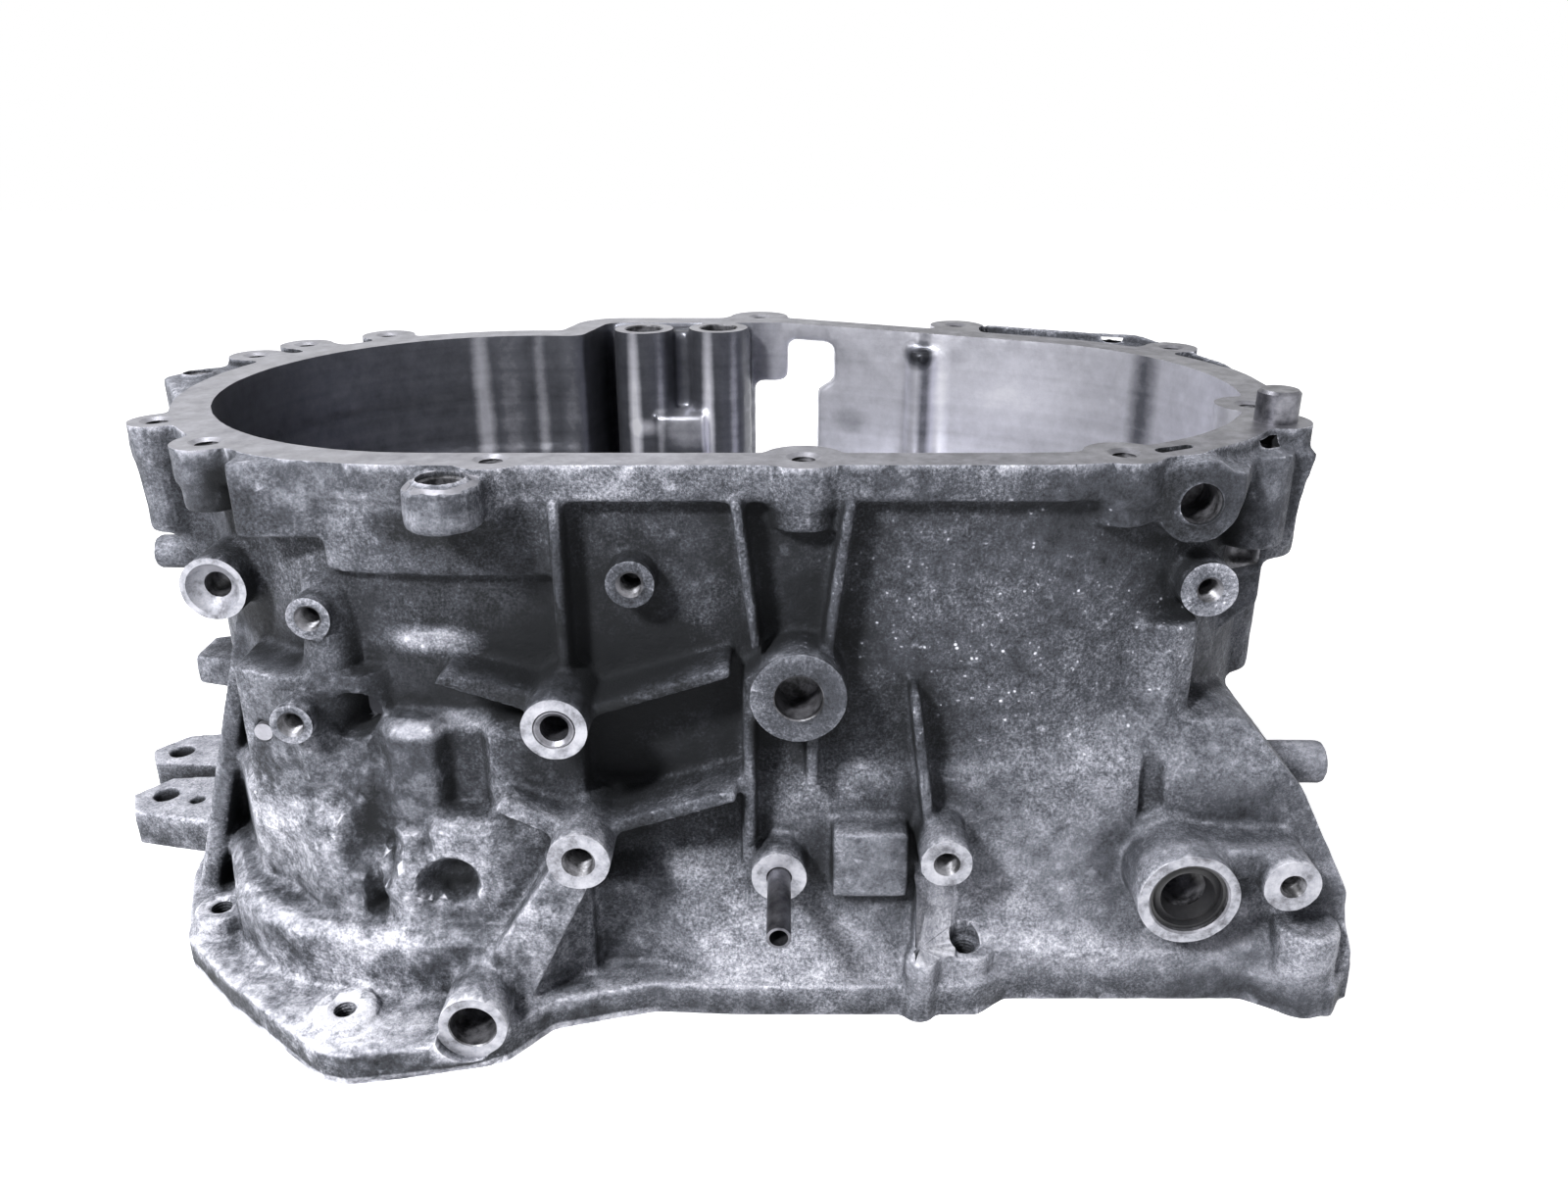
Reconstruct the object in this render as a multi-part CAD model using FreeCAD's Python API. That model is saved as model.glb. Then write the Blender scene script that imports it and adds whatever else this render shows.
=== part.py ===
import FreeCAD, Part
import math
import os

V = FreeCAD.Vector

# Overall sizes of the casting
case_height = 190.0
wall = 7.0
chamber_floor = 90.0
floor_thickness = 8.0
cover_flange_thickness = 12.0
cover_flange_width = 13.5
flange_corner_radius = 2.5
base_flange_thickness = 12.0

# Pulley chamber: two round ends and a bay behind them
primary_x = -110.0
primary_y = 0.0
primary_radius = 98.0
secondary_x = 73.0
secondary_y = -3.5
secondary_radius = 94.5
bay_y = 132.0
bay_left_x = -84.0
bay_right_x = 0.0
bay_step_x = -92.0
bay_corner_radius = 7.0
primary_bearing_radius = 44.0
secondary_bearing_radius = 40.0
bearing_rim = 8.0
bearing_rim_height = 9.0
pilaster_radius = 7.0
# Bands turned into the wall of the left round end, as bottom, top and depth
wall_bands = [(100.0, 122.0, 1.5), (138.0, 164.0, 0.8)]
bearings = [
    (primary_x, primary_y, primary_bearing_radius),
    (secondary_x, secondary_y, secondary_bearing_radius),
]
primary_end = (primary_x, primary_y, primary_radius)
secondary_end = (secondary_x, secondary_y, secondary_radius)


# Place beside a round end, from its angle and its distance outside the chamber
def beside(end, angle, stand_off):
    x, y, radius = end
    reach = radius + stand_off
    return (x + reach * math.cos(math.radians(angle)), y + reach * math.sin(math.radians(angle)))


# Place in front of the straight wall between the round ends
def before_wall(x, stand_off):
    share = (x - primary_x) / (secondary_x - primary_x)
    left = primary_y - primary_radius
    right = secondary_y - secondary_radius
    return (x, left + (right - left) * share - stand_off)


# Cover flange screws, M8
cover_hole_radius = 3.4
cover_hole_depth = 18.0

# Clamping bolts that pass down inside the bay
bolt_boss_radius = 13.5
bolt_hole_radius = 8.5

# Ears beside the cover flange
ear_radius = 11.5
ear_height = 13.0
ear_drop = 2.0
low_ear_drop = 6.0

# Dowel of the cover flange
dowel_x, dowel_y = beside(secondary_end, -30.55, 11.75)
dowel_radius = 7.0
dowel_boss_radius = 11.5
dowel_boss_length = 34.0
dowel_depth = 14.0
dowel_stand_out = 10.5
dowel_chamfer = 1.0

# Lifting lug with a cross hole
lug_x = 126.2
lug_hole_drop = 13.8
lug_front = -105.0
lug_half_width = 13.5
lug_hole_radius = 6.2
lug_hole_depth = 17.0
lug_top_drop = 4.0
lug_thickness = 40.0

# Tapped bosses of the photographed wall, M8 and M10
small_tap_radius = 3.4
large_tap_radius = 4.4

# Ring boss in the middle of the wall
ring_x = 4.5
ring_z = 119.5
ring_radius = 15.0
ring_hole_radius = 7.5
ring_hole_depth = 16.0
ring_front = -124.0

# Ring boss on the base flange
foot_ring_x = -99.0
foot_ring_z = 16.0
foot_ring_radius = 11.0
foot_ring_hole_radius = 7.4
foot_ring_hole_depth = 32.0
foot_ring_front = -150.0

# Port boss with a conical seat
port_x = -182.6
port_z = 144.4
port_front = -96.0
port_radius = 10.7
port_seat_radius = 8.2
port_seat_depth = 8.0
port_hole_radius = 4.1
port_hole_depth = 40.0

# Shaft seal boss
seal_x = 130.6
seal_z = 50.5
seal_front = -131.0
seal_boss_radius = 16.5
seal_radius = 12.5
seal_recess = 2.0
seal_width = 7.0
seal_lip_radius = 7.2
shaft_hole_radius = 8.5
shaft_hole_depth = 40.0

# Breather tube
tube_x = -1.6
tube_z = 53.6
tube_front = -154.0
tube_radius = 3.8
tube_bore_radius = 2.9
tube_seat = 10.0
tube_hole_depth = 24.0
tube_boss_radius = 9.2
tube_boss_front = -123.0

# Wire thread insert and core plug
insert_radius = 6.1
insert_length = 18.0
plug_x = -168.3
plug_z = 99.7
plug_radius = 3.0
plug_length = 6.0
plug_front = -108.0
plug_proud = 0.8

# Window through the far wall of the chamber
window_left = -14.0
window_step = 2.0
window_narrow = 16.5
window_right = 24.0
window_sill_rise = 26.0
window_shoulder_drop = 28.0
window_top_drop = 8.0
window_corner_radius = 4.0

# Length of the screw pads towards the chamber, and half width of their necks as a share of the radius
pad_root = 40.0
pad_neck = 0.85
# Screw bosses of the cover flange, as place and boss radius
cover_screws = [
    (*beside(primary_end, -150.1, 17.35), 9.5),
    (*beside(primary_end, -130.21, 12.91), 11.0),
    (*before_wall(-87.8, 6.5), 11.5),
    (*before_wall(5.9, 4.5), 13.0),
    (*beside(secondary_end, -72.06, 4.83), 12.5),
    (*beside(secondary_end, -18.89, 1.57), 12.0),
    (*beside(secondary_end, 38.22, 25.27), 11.0),
    (*beside(secondary_end, 86.33, 35.27), 12.0),
    (-12.0, bay_y + 18.5, 14.0),
    (*beside(primary_end, 124.8, 23.78), 11.5),
    (*beside(primary_end, 141.85, 27.13), 11.0),
    (*beside(primary_end, 154.29, 24.86), 11.0),
]
# Shanks that hang below the first five of them, as radius and length
screw_shanks = [(8.0, 26.0), (9.5, 9.0), (9.0, 8.0), (11.0, 9.0), (10.5, 9.0)]
bolt_bosses = [(-65.3, 116.2), (-30.7, 118.8)]

# Holes of the ears, as place, radius, depth of the mouth below the cover face and length
ear_holes = [
    (*before_wall(-98.2, 25.0), 6.5, 2.0, 14.0),
    (*beside(secondary_end, -39.43, 11.79), 5.5, 6.0, 40.0),
    (*beside(secondary_end, 54.75, 40.81), 5.0, 6.0, 30.0),
    (*beside(primary_end, 166.18, 31.76), 5.0, 4.0, 60.0),
]

# Tapped bosses of the photographed wall, as place, radius, front face and depth of the tapping
wall_taps = [
    (-46.7, 153.5, 7.7, -115.0, 14.0),
    (-69.1, 114.1, 10.2, -134.0, 18.0),
    (-63.9, 69.8, 10.0, -138.0, 18.0),
    (-147.4, 140.6, 7.0, -111.0, 15.0),
    (-153.6, 108.9, 6.8, -121.0, 18.0),
    (134.7, 145.7, 9.3, -100.0, 18.0),
    (51.8, 64.2, 8.4, -131.0, 18.0),
    (163.6, 55.0, 9.4, -130.0, 18.0),
]
insert_tap = 1

# Bosses that stand on the base flange, as place, radius and top
foot_bosses = [
    (46.0, -124.5, 5.5, 24.0),
    (61.6, -113.0, 11.0, 21.0),
    (177.0, -117.0, 11.0, 32.0),
    (-143.3, -139.5, 10.5, 15.0),
    (-202.8, -91.9, 9.5, 20.0),
]
# Holes up through the base flange and its side lugs, as place and radius
base_holes = [
    (-202.8, -91.9, 3.4),
    (-143.3, -139.5, 3.4),
    (61.6, -114.3, 3.4),
    (-263.0, -8.0, 5.0),
    (-248.0, -12.0, 3.0),
    (-273.0, 29.0, 5.0),
    (-180.0, 96.0, 4.5),
    (-60.0, 118.0, 4.5),
    (60.0, 117.0, 4.5),
    (150.0, 108.0, 4.5),
]
flange_hole_top = 21.0
side_lug_height = 15.0

# Outline of the base flange
base_outline = [
    (-228.0, -62.0), (-213.0, -100.0), (-188.0, -124.0), (-147.0, -156.0), (-138.0, -158.0),
    (-90.0, -148.0), (-77.0, -133.0), (-44.0, -124.5), (-14.0, -126.0), (66.0, -126.0),
    (76.0, -118.0), (158.0, -118.0), (170.0, -125.0), (186.0, -127.0), (198.0, -110.0),
    (200.0, 60.0), (196.0, 112.0), (172.0, 120.0), (60.0, 126.0), (-90.0, 128.0),
    (-200.0, 108.0), (-236.0, 60.0), (-234.0, -30.0),
]

# Outline and top of each terrace of the lower left wall
left_terraces = [
    ([
        (-214.0, -56.0), (-191.0, -103.0), (-176.0, -117.0), (-158.0, -125.0), (-118.0, -131.0),
        (-84.0, -131.0), (-64.0, -112.0), (-60.0, 110.0), (-190.0, 92.0), (-222.0, 50.0),
    ], 36.0),
    ([
        (-206.0, -54.0), (-184.0, -94.0), (-168.0, -104.0), (-156.0, -116.0), (-140.0, -119.0),
        (-134.0, -111.0), (-121.0, -111.0), (-114.0, -122.0), (-92.0, -124.0), (-64.0, -119.0),
        (-60.0, 108.0), (-188.0, 90.0), (-219.0, 48.0),
    ], 74.0),
    ([
        (-198.0, -52.0), (-174.0, -86.0), (-148.0, -103.0), (-132.0, -108.0), (-126.0, -116.0),
        (-112.0, -116.0), (-108.0, -109.0), (-98.0, -109.0), (-94.0, -116.0), (-64.0, -116.0),
        (-60.0, 106.0), (-186.0, 88.0), (-216.0, 46.0),
    ], 106.0),
]
terrace_bevel = 4.0
# Pockets sunk in the lower left wall, as place, mouth radius, radius at the bottom and how far in they end
wall_pockets = [
    (-134.5, 69.0, 11.0, 4.5, -105.0),
    (-134.0, 83.0, 9.0, 3.5, -104.5),
    (-108.0, 50.5, 10.5, 4.5, -107.5),
]
pocket_front = -135.0
skirt_corner_radius = 8.0
rib_root = primary_y - primary_radius + 1.0
boss_root = primary_y - primary_radius + 20.0
port_root = primary_y - primary_radius + 40.0


def vertical_cylinder(x, y, radius, z_bottom, z_top):
    return Part.makeCylinder(radius, z_top - z_bottom, V(x, y, z_bottom), V(0, 0, 1))


def cross_cylinder(x, z, radius, y_front, y_back):
    return Part.makeCylinder(radius, y_back - y_front, V(x, y_front, z), V(0, 1, 0))


def prism(points, z_bottom, z_top):
    corners = [V(x, y, z_bottom) for x, y in points]
    face = Part.Face(Part.makePolygon(corners + corners[:1]))
    return face.extrude(V(0, 0, z_top - z_bottom))


def cross_prism(points, y_front, y_back):
    corners = [V(x, y_front, z) for x, z in points]
    face = Part.Face(Part.makePolygon(corners + corners[:1]))
    return face.extrude(V(0, y_back - y_front, 0))


def side_prism(points, x_left, x_right):
    corners = [V(x_left, y, z) for y, z in points]
    face = Part.Face(Part.makePolygon(corners + corners[:1]))
    return face.extrude(V(x_right - x_left, 0, 0))


def runs_along(edge, axis):
    box = edge.BoundBox
    lengths = (box.XLength, box.YLength, box.ZLength)
    return abs(lengths[axis] - edge.Length) < 1e-4


def lies_at_height(edge, z):
    return abs(edge.BoundBox.ZMin - z) < 1e-4 and abs(edge.BoundBox.ZMax - z) < 1e-4


def fused(solids):
    return solids[0].multiFuse(solids[1:])


def tangent_point(x, y):
    reach = math.hypot(x - secondary_x, y - secondary_y)
    angle = math.atan2(y - secondary_y, x - secondary_x) - math.acos(secondary_radius / reach)
    across = secondary_radius * math.cos(angle)
    along = secondary_radius * math.sin(angle)
    return V(secondary_x + across, secondary_y + along, 0)


def opening_face():
    near_left = V(primary_x, primary_y - primary_radius, 0)
    near_right = V(secondary_x, secondary_y - secondary_radius, 0)
    far_right = tangent_point(bay_right_x, bay_y)
    bay_right = V(bay_right_x, bay_y, 0)
    bay_left = V(bay_left_x, bay_y, 0)
    rise = math.sqrt(primary_radius ** 2 - (bay_step_x - primary_x) ** 2)
    bay_step = V(bay_step_x, primary_y + rise, 0)
    right_end = V(secondary_x + secondary_radius, secondary_y, 0)
    left_end = V(primary_x - primary_radius, primary_y, 0)
    edges = [
        Part.makeLine(near_left, near_right),
        Part.Arc(near_right, right_end, far_right).toShape(),
        Part.makeLine(far_right, bay_right),
        Part.makeLine(bay_right, bay_left),
        Part.makeLine(bay_left, bay_step),
        Part.Arc(bay_step, left_end, near_left).toShape(),
    ]
    block = Part.Face(Part.Wire(edges)).extrude(V(0, 0, 1))
    corners = (bay_right, bay_left, bay_step)
    upright = [e for e in block.Edges if runs_along(e, 2)]
    sharp = [e for e in upright if min(e.Vertexes[0].Point.distanceToPoint(c) for c in corners) < 1.01]
    block = block.makeFillet(bay_corner_radius, sharp)
    return [f for f in block.Faces if f.BoundBox.ZMax < 1e-6][0]


def opening(grow, z_bottom, z_top):
    face = opening_face()
    if grow:
        face = face.makeOffset2D(grow)
    face.translate(V(0, 0, z_bottom))
    return face.extrude(V(0, 0, z_top - z_bottom))


def normal_at(face, point):
    u, v = face.Surface.parameter(point)
    return face.normalAt(u, v)


# Sharp upright edges between sides that are both wide enough to take a fillet
def sharp_upright_edges(solid, narrowest):
    height = solid.BoundBox.ZLength
    found = []
    for edge in solid.Edges:
        if not runs_along(edge, 2):
            continue
        sides = [f for f in solid.Faces if any(edge.isSame(e) for e in f.Edges)]
        if len(sides) == 2 and min(f.Area for f in sides) > narrowest * height:
            middle = edge.CenterOfMass
            if normal_at(sides[0], middle).getAngle(normal_at(sides[1], middle)) > 0.3:
                found.append(edge)
    return found


def screw_pad(x, y, radius, z_bottom, z_top):
    axis_x = primary_x if x < 0 else secondary_x
    reach = math.hypot(x - axis_x, y)
    along_x = (axis_x - x) / reach
    along_y = -y / reach
    side_x = -radius * pad_neck * along_y
    side_y = radius * pad_neck * along_x
    root_x = pad_root * along_x
    root_y = pad_root * along_y
    stem = [
        (x + side_x, y + side_y), (x - side_x, y - side_y),
        (x - side_x + root_x, y - side_y + root_y), (x + side_x + root_x, y + side_y + root_y),
    ]
    return vertical_cylinder(x, y, radius, z_bottom, z_top).fuse(prism(stem, z_bottom, z_top))


def cover_flange():
    bottom = case_height - cover_flange_thickness
    pads = [opening(cover_flange_width, bottom, case_height)]
    for x, y, radius in cover_screws:
        pads.append(screw_pad(x, y, radius, bottom, case_height))
    for x, y in bolt_bosses:
        pads.append(vertical_cylinder(x, y + 11.0, bolt_boss_radius + 1.0, bottom, case_height))
    pads.append(vertical_cylinder(dowel_x, dowel_y, dowel_boss_radius + 0.5, bottom, case_height))
    plate = fused(pads).removeSplitter()
    return plate.makeFillet(flange_corner_radius, sharp_upright_edges(plate, 1.2 * flange_corner_radius))


def cover_screw_bosses():
    top = case_height - cover_flange_thickness
    shanks = []
    for (x, y, _), (radius, length) in zip(cover_screws, screw_shanks):
        shanks.append(vertical_cylinder(x, y, radius, top - length, top + 1.0))
    shanks.append(vertical_cylinder(dowel_x, dowel_y, dowel_boss_radius, top - dowel_boss_length, top + 1.0))
    return shanks


def far_rim():
    rim = case_height - 0.6
    channel = case_height - 5.0
    bottom = case_height - cover_flange_thickness
    outer = [
        (150.0, -12.0), (181.0, -12.0), (181.0, 42.0), (163.0, 104.0), (140.0, 112.0), (96.0, 132.0),
        (92.0, 96.0),
    ]
    inner = [
        (150.0, -8.0), (178.0, -8.0), (178.0, 42.0), (161.0, 101.0), (138.0, 109.0), (96.0, 128.0),
        (90.0, 92.0),
    ]
    plate = prism(outer, bottom, rim)
    return plate.cut(prism(inner, channel, rim + 1.0))


def chamber_wall():
    return opening(wall, chamber_floor - floor_thickness, case_height - 1.0)


def upper_band():
    ring = opening(wall + 4.5, case_height - 36.0, case_height - cover_flange_thickness)
    near = [(-142.0, -125.0), (-69.0, -125.0), (-69.0, -60.0), (-142.0, -60.0)]
    return ring.common(prism(near, case_height - 40.0, case_height))


def ears():
    level = case_height - ear_drop
    low = case_height - low_ear_drop
    parts = []
    near, right, far = ear_holes[:3]
    parts.append(vertical_cylinder(near[0], near[1], ear_radius, level - ear_height, level))
    web = [(-109.0, -123.0), (-108.0, -100.0), (-80.0, -100.0), (-87.5, -120.0)]
    parts.append(prism(web, level - ear_height, level))
    parts.append(vertical_cylinder(right[0], right[1], ear_radius, low - 32.0, low))
    bridge = [
        (112.7, -105.0), (139.7, -105.0), (150.0, -82.0), (158.0, -55.0), (120.0, -55.0), (112.7, -80.0),
    ]
    parts.append(prism(bridge, low - 8.0, low))
    parts.append(vertical_cylinder(far[0], far[1], ear_radius - 1.0, low - 20.0, low))
    parts.append(prism([(141.0, 110.0), (161.0, 105.0), (158.0, 70.0), (120.0, 80.0)], low - 14.0, low))
    return parts


def far_left_ear():
    level = case_height - 4.0
    body = [
        (-243.0, 18.0), (-250.0, 30.0), (-243.0, 44.0), (-225.0, 58.0), (-200.0, 40.0), (-205.0, -20.0),
        (-218.0, -22.0),
    ]
    return prism(body, level - 16.0, level)


def side_gussets():
    left = [(-109.0, 6.0), (-107.5, 24.0), (-97.0, 44.0), (-80.0, 62.0), (-80.0, 6.0)]
    ear = [(-135.0, 14.0), (-120.0, 40.0), (-95.0, 80.0), (-85.0, 80.0), (-85.0, 14.0)]
    right = [
        (103.0, 8.0), (100.0, 22.0), (98.5, 40.0), (90.0, 47.0), (90.5, 61.0), (77.0, 73.0),
        (57.0, 73.0), (57.0, 8.0),
    ]
    parts = []
    for axis, outline, front, back in [
        (primary_x, left, -62.0, -50.0), (primary_x, ear, 22.0, 36.0), (secondary_x, right, -70.0, -50.0),
    ]:
        parts.append(cross_prism([(axis + out, case_height - drop) for out, drop in outline], front, back))
    return parts


def face_block():
    outline = [(-167.5, -107.0), (-142.7, -107.0), (-142.7, -80.0), (-167.5, -66.0)]
    return prism(outline, case_height - 25.0, case_height - 1.0)


def lug():
    centre = case_height - lug_hole_drop
    back = lug_front + lug_thickness
    round_part = cross_cylinder(lug_x, centre, lug_half_width, lug_front, back)
    left = lug_x - lug_half_width
    right = lug_x + lug_half_width
    top = case_height - lug_top_drop
    square = cross_prism([(left, centre), (right, centre), (right, top), (left, top)], lug_front, back)
    return round_part.fuse(square)


# Lower body: a sloping skirt on the right, terraces on the left
def right_skirt():
    front_view = [
        (-75.0, 0.0), (-75.0, 124.0), (124.0, 124.0), (134.0, 107.0), (155.0, 98.0), (172.0, 78.0),
        (193.0, 38.0), (196.0, 0.0),
    ]
    back = [(60.0, 124.0), (104.0, 80.0), (110.0, 0.0)]
    pockets_view = [(-113.0, 0.0), (-113.0, 46.0), (-103.0, 52.0), (-103.0, 97.0)] + back
    middle_view = [(-126.0, 0.0), (-124.5, 6.0), (-113.0, 44.0), (-108.0, 84.0), (-100.0, 97.0)] + back
    right_view = [(-117.5, 0.0), (-117.5, 20.0), (-110.5, 27.0), (-108.0, 84.0), (-100.0, 100.0)] + back
    along = cross_prism(front_view, -130.0, 120.0)
    ridges = [e for e in along.Edges if runs_along(e, 1)]
    corners = [e for e in ridges if e.BoundBox.ZMin > 1.0 and e.BoundBox.XMin > 130.0]
    along = along.makeFillet(skirt_corner_radius, corners)
    ramp = [(-14.0, -126.0), (-46.0, -112.0), (-46.0, -60.0), (-14.0, -60.0)]
    sections = [
        side_prism(pockets_view, -80.0, -14.0),
        side_prism(middle_view, -46.0, -14.0).common(prism(ramp, 0.0, 46.0)),
        side_prism(middle_view, -14.0, 48.0),
        side_prism(right_view, 48.0, 200.0),
    ]
    return along.common(fused(sections))


def wing_root():
    outline = [(108.0, -96.0), (125.0, -102.0), (134.0, -97.0), (134.0, -70.0), (100.0, -60.0)]
    return prism(outline, 70.0, 134.0)


def terraces():
    steps = []
    for points, top in left_terraces:
        step = prism(points, 0.0, top)
        step = step.makeChamfer(terrace_bevel, [e for e in step.Edges if lies_at_height(e, top)])
        steps.append(step)
    return steps


def left_edge_web():
    return cross_prism([(-224.0, 4.0), (-189.0, 124.0), (-182.0, 124.0), (-216.0, 4.0)], -72.0, -44.0)


def plug_block():
    outline = [
        (-177.0, -104.0), (-160.0, -112.0), (-134.0, -112.0), (-126.0, -104.0), (-126.0, -80.0),
        (-177.0, -70.0),
    ]
    return prism(outline, 60.0, 121.0)


def boss_posts():
    post = Part.makeCone(10.0, 6.0, 60.0, V(-147.0, -97.0, 90.0), V(0, 0, 1))
    low_post = Part.makeCone(4.5, 6.4, 24.0, V(-152.5, -109.5, 83.0), V(0, 0, 1))
    hump = Part.makeCone(10.5, 5.0, 30.0, V(-122.5, -115.5, 38.0), V(0, 0, 1))
    ridge_start = V(-179.0, -93.5, 76.5)
    ridge = V(-159.0, -111.0, 66.0) - ridge_start
    return [post, low_post, hump, Part.makeCylinder(3.2, ridge.Length, ridge_start, ridge)]


def side_lugs():
    near = [(-270.0, -22.0), (-277.0, -8.0), (-266.0, 6.0), (-218.0, 10.0), (-218.0, -34.0)]
    far = [(-280.0, 18.0), (-287.0, 30.0), (-276.0, 44.0), (-218.0, 52.0), (-218.0, 14.0)]
    high = [(-226.0, -34.0), (-226.0, -16.0), (-205.0, -10.0), (-205.0, -40.0)]
    peg = Part.makeCylinder(6.5, 44.0, V(-236.0, -24.0, 131.0), V(1, 0, 0))
    return [prism(near, 0.0, side_lug_height), prism(far, 0.0, side_lug_height), prism(high, 80.0, 92.0), peg]


def stub():
    return Part.makeCylinder(8.5, 56.0, V(156.0, -36.0, 47.0), V(1, 0, 0))


def base_flange():
    return prism(base_outline, 0.0, base_flange_thickness)


# Bosses of the photographed wall
def round_bosses():
    parts = []
    for x, z, radius, front, _ in wall_taps:
        parts.append(cross_cylinder(x, z, radius, front, boss_root))
    parts.append(cross_cylinder(ring_x, ring_z, ring_radius, ring_front, boss_root))
    parts.append(cross_cylinder(foot_ring_x, foot_ring_z, foot_ring_radius, foot_ring_front, boss_root))
    parts.append(cross_cylinder(port_x, port_z, port_radius, port_front, port_root))
    parts.append(cross_cylinder(seal_x, seal_z, seal_boss_radius, seal_front, boss_root))
    parts.append(cross_cylinder(tube_x, tube_z, tube_boss_radius, tube_boss_front, boss_root))
    return parts


# Ribs and pads of the photographed wall
def wall_ribs():
    top = case_height - cover_flange_thickness + 2.0
    upright = [
        ([(-70.5, top), (-70.5, 66.0), (-66.5, 66.0), (-66.5, top)], -115.0),
        ([(-16.0, top), (-10.0, 132.0), (-7.0, 132.0), (-12.5, top)], -117.0),
        ([(21.5, top), (15.0, 131.0), (11.5, 131.0), (18.0, top)], -117.0),
        ([(-13.0, 124.0), (-13.0, 62.0), (-9.0, 62.0), (-9.0, 124.0)], -119.0),
        ([(7.0, 110.0), (7.0, 84.0), (11.0, 84.0), (11.0, 110.0)], -118.0),
        ([(39.5, 118.0), (42.5, 118.0), (50.0, 66.0), (46.0, 66.0)], -118.0),
        ([(45.0, 64.0), (57.0, 64.0), (58.0, 12.0), (42.0, 12.0)], -124.0),
    ]
    slanting = [
        ([(-64.0, 111.0), (-16.0, 126.0), (-16.0, 130.0), (-64.0, 115.0)], -124.0),
        ([(-60.0, 69.0), (-15.0, 83.0), (-15.0, 88.0), (-60.0, 74.0)], -125.0),
        ([(-108.0, 123.0), (-70.0, 110.0), (-70.0, 118.0), (-104.0, 127.0)], -122.0),
        ([(-92.0, 82.0), (-66.0, 68.0), (-66.0, 76.0), (-88.0, 86.0)], -128.0),
        ([(-106.0, 14.0), (-70.0, 70.0), (-58.0, 66.0), (-84.0, 12.0)], -134.0),
    ]
    pads = [
        ([(15.9, 44.4), (40.7, 44.4), (40.7, 68.9), (15.9, 68.9)], -121.5),
        ([(130.0, 66.0), (164.0, 63.0), (164.0, 54.0), (130.0, 52.0)], -124.0),
    ]
    return [cross_prism(outline, front, rib_root) for outline, front in upright + slanting + pads]


def bolt_tubes():
    parts = []
    foot = chamber_floor - 2.0
    for x, y in bolt_bosses:
        parts.append(vertical_cylinder(x, y, bolt_boss_radius, foot, case_height))
    between = [(-60.0, 100.0), (-37.0, 100.0), (-37.0, 135.0), (-60.0, 135.0)]
    behind = [(-80.0, 118.0), (-16.0, 118.0), (-16.0, 137.0), (-80.0, 137.0)]
    parts.append(prism(between, foot, case_height - 38.0))
    parts.append(prism(behind, foot, case_height - 2.0))
    return parts


def bearing_rims():
    bottom = chamber_floor - floor_thickness
    top = chamber_floor + bearing_rim_height
    return [vertical_cylinder(x, y, radius + bearing_rim, bottom, top) for x, y, radius in bearings]


def inside_pads():
    parts = []
    for place, bottom in [(5, chamber_floor), (4, case_height - 14.0), (3, case_height - 14.0)]:
        x, y, radius = cover_screws[place]
        parts.append(vertical_cylinder(x, y, radius, bottom, case_height))
    parts.append(vertical_cylinder(64.0, 105.0, pilaster_radius, chamber_floor - 2.0, case_height - 8.0))
    return parts


# Hollows
def lower_hollows():
    low_points, low_top = left_terraces[0]
    high_points, high_top = left_terraces[2]
    ceiling = chamber_floor - floor_thickness
    hollows = []
    for points, top in [(low_points, low_top - wall), (high_points, ceiling)]:
        outline = Part.Face(Part.makePolygon([V(x, y, -1.0) for x, y in points + points[:1]]))
        hollows.append(outline.makeOffset2D(-wall, 2).extrude(V(0, 0, top + 1.0)))
    front_view = [(-75.0, -1.0), (-75.0, ceiling), (162.0, ceiling), (185.0, 38.0), (188.0, -1.0)]
    side_view = [
        (-105.0, -1.0), (-104.0, 46.0), (-96.0, 60.0), (-96.0, ceiling), (94.0, ceiling), (102.0, -1.0),
    ]
    right = cross_prism(front_view, -125.0, 115.0).common(side_prism(side_view, -76.0, 190.0))
    hollows.append(right)
    return fused(hollows)


def window():
    sill = chamber_floor + window_sill_rise
    shoulder = case_height - window_shoulder_drop
    top = case_height - window_top_drop
    outline = [
        (window_left, sill), (window_narrow, sill), (window_narrow, shoulder - 3.0),
        (window_right, shoulder + 2.0), (window_right, top), (window_step, top),
        (window_step, shoulder), (window_left, shoulder),
    ]
    cutter = cross_prism(outline, 100.0, 150.0)
    return cutter.makeFillet(window_corner_radius, [e for e in cutter.Edges if runs_along(e, 1)])


def cover_holes():
    cuts = []
    for x, y, _ in cover_screws:
        cuts.append(vertical_cylinder(x, y, cover_hole_radius, case_height - cover_hole_depth, case_height))
    for x, y in bolt_bosses:
        cuts.append(vertical_cylinder(x, y, bolt_hole_radius, 60.0, case_height))
    for x, y, radius, drop, length in ear_holes:
        cuts.append(vertical_cylinder(x, y, radius, case_height - drop - length, case_height - drop))
    cuts.append(vertical_cylinder(dowel_x, dowel_y, dowel_radius, case_height - dowel_depth, case_height))
    for x, y, radius in bearings:
        cuts.append(vertical_cylinder(x, y, radius, 60.0, chamber_floor + 20.0))
    return cuts


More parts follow.
